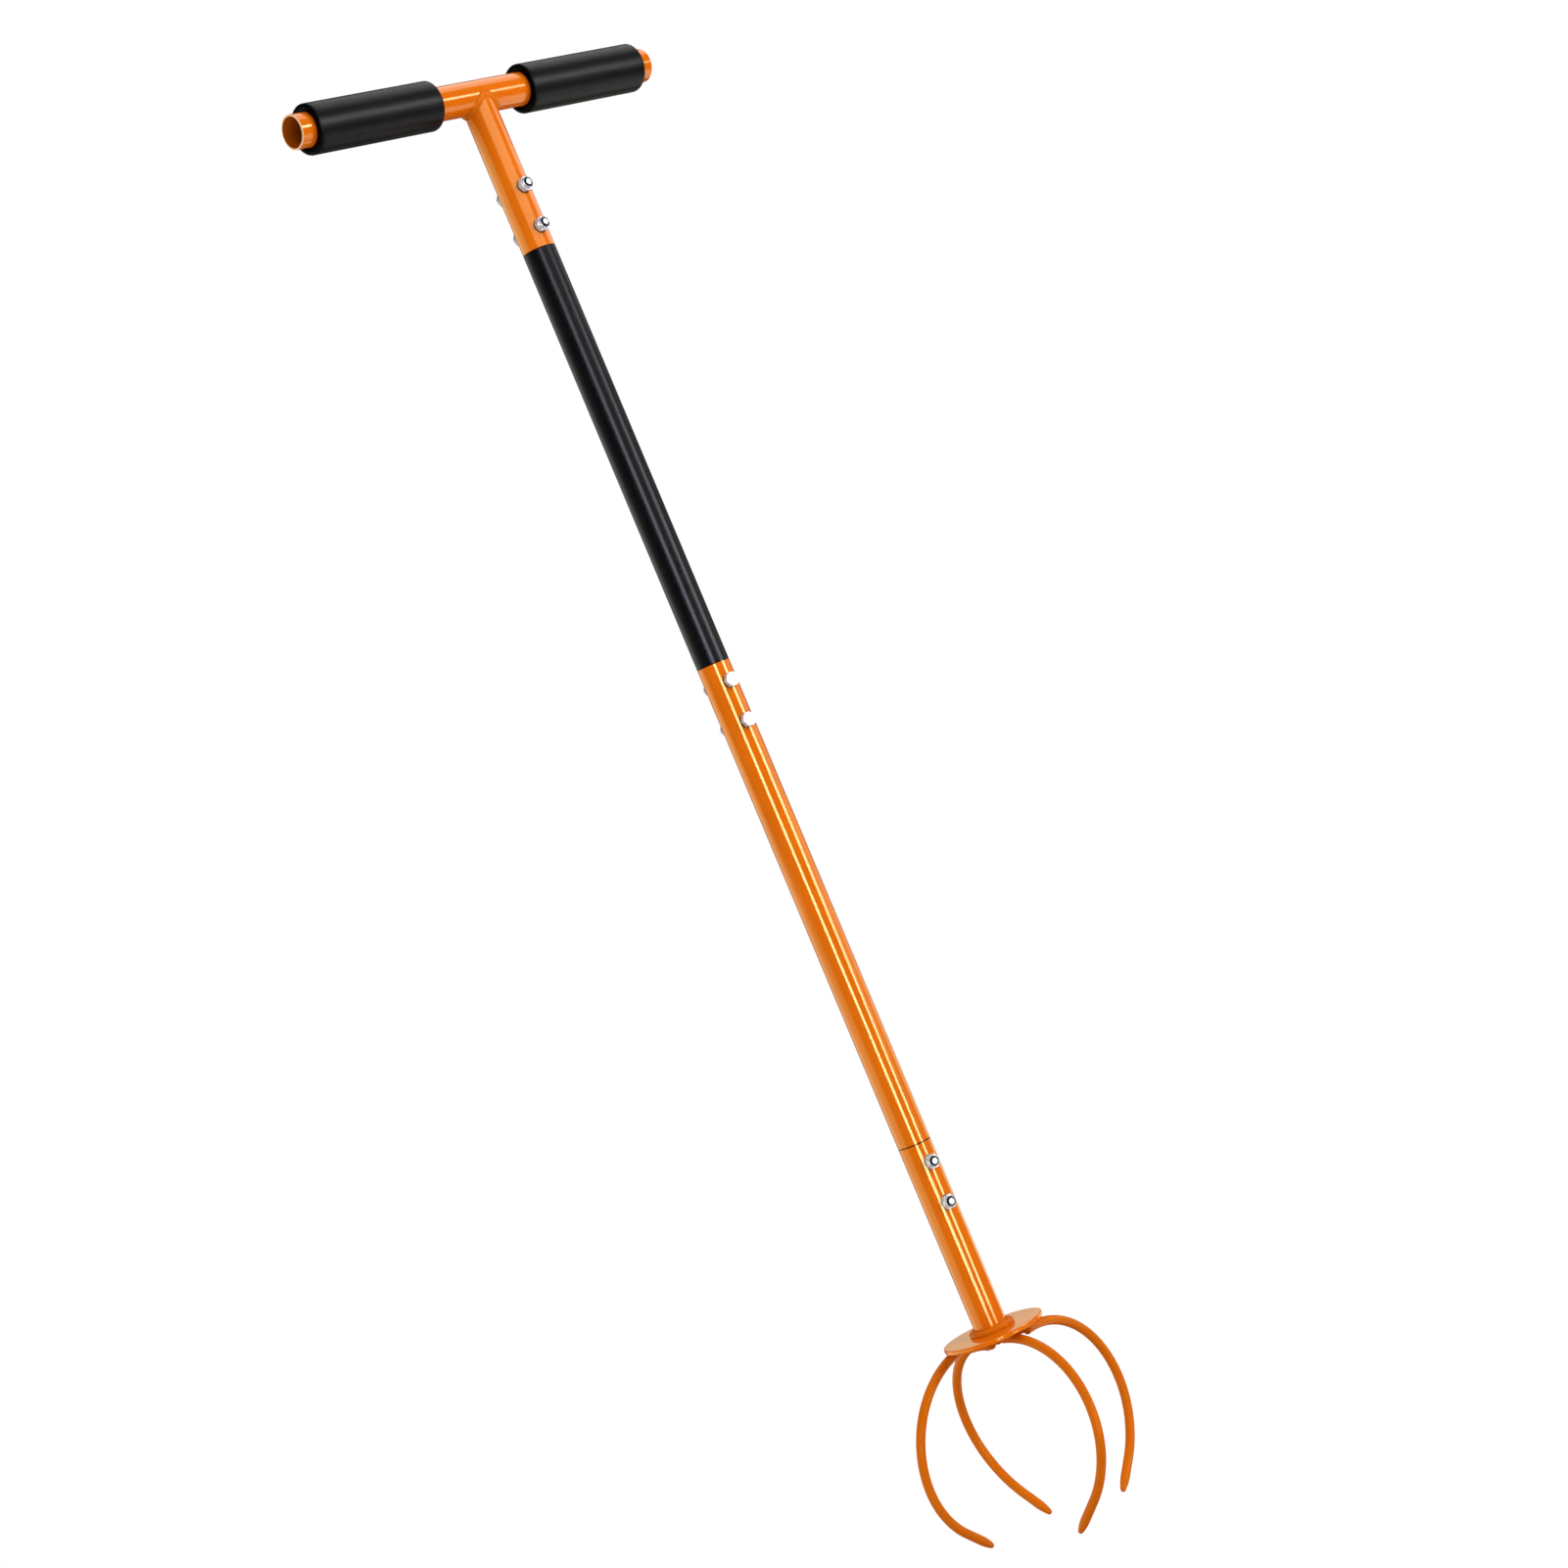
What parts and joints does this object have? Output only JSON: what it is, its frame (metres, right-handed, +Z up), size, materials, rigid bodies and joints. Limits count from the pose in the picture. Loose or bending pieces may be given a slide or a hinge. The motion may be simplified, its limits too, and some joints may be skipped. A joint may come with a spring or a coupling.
{
  "type": "hand cultivator",
  "caption": "Long-handled twist cultivator: a T handle with foam grips, a shaft bolted together from tubes, and a claw of bent round tines under a round plate.",
  "frame": {"origin": "on the shaft's axis, on the ground that the tine tips stand on", "axes": "+Z up the shaft, X along the crossbar, -Y towards the front, the side that the nuts of the top and bottom joints face"},
  "size_m": [0.334, 0.1678, 1.1443],
  "materials": {
    "orange_paint": "gloss enamel",
    "black_paint": "satin enamel",
    "grip_foam": "matt closed-cell foam with a moulded skin",
    "zinc_steel": "bright zinc plating",
    "nylon": "moulded"
  },
  "bodies": {
    "root": {"crossbar_tube": "orange_paint", "left_grip": "grip_foam", "right_grip": "grip_foam", "stem_tube": "orange_paint", "stem_weld_bead": "orange_paint", "upper_shaft_tube": "black_paint", "middle_shaft_tube": "orange_paint", "claw_socket_tube": "orange_paint", "socket_weld_bead": "orange_paint", "claw_plate": "orange_paint", "left_tine": "orange_paint", "back_tine": "orange_paint", "front_tine": "orange_paint", "right_tine": "orange_paint", "tine_weld_beads": "orange_paint", "handle_joint_bolts": "zinc_steel", "handle_joint_lock_nuts": "zinc_steel", "handle_joint_nylon_rings": "nylon", "middle_joint_bolts": "zinc_steel", "middle_joint_lock_nuts": "zinc_steel", "middle_joint_nylon_rings": "nylon", "claw_joint_bolts": "zinc_steel", "claw_joint_lock_nuts": "zinc_steel", "claw_joint_nylon_rings": "nylon"}
  },
  "joints": []
}
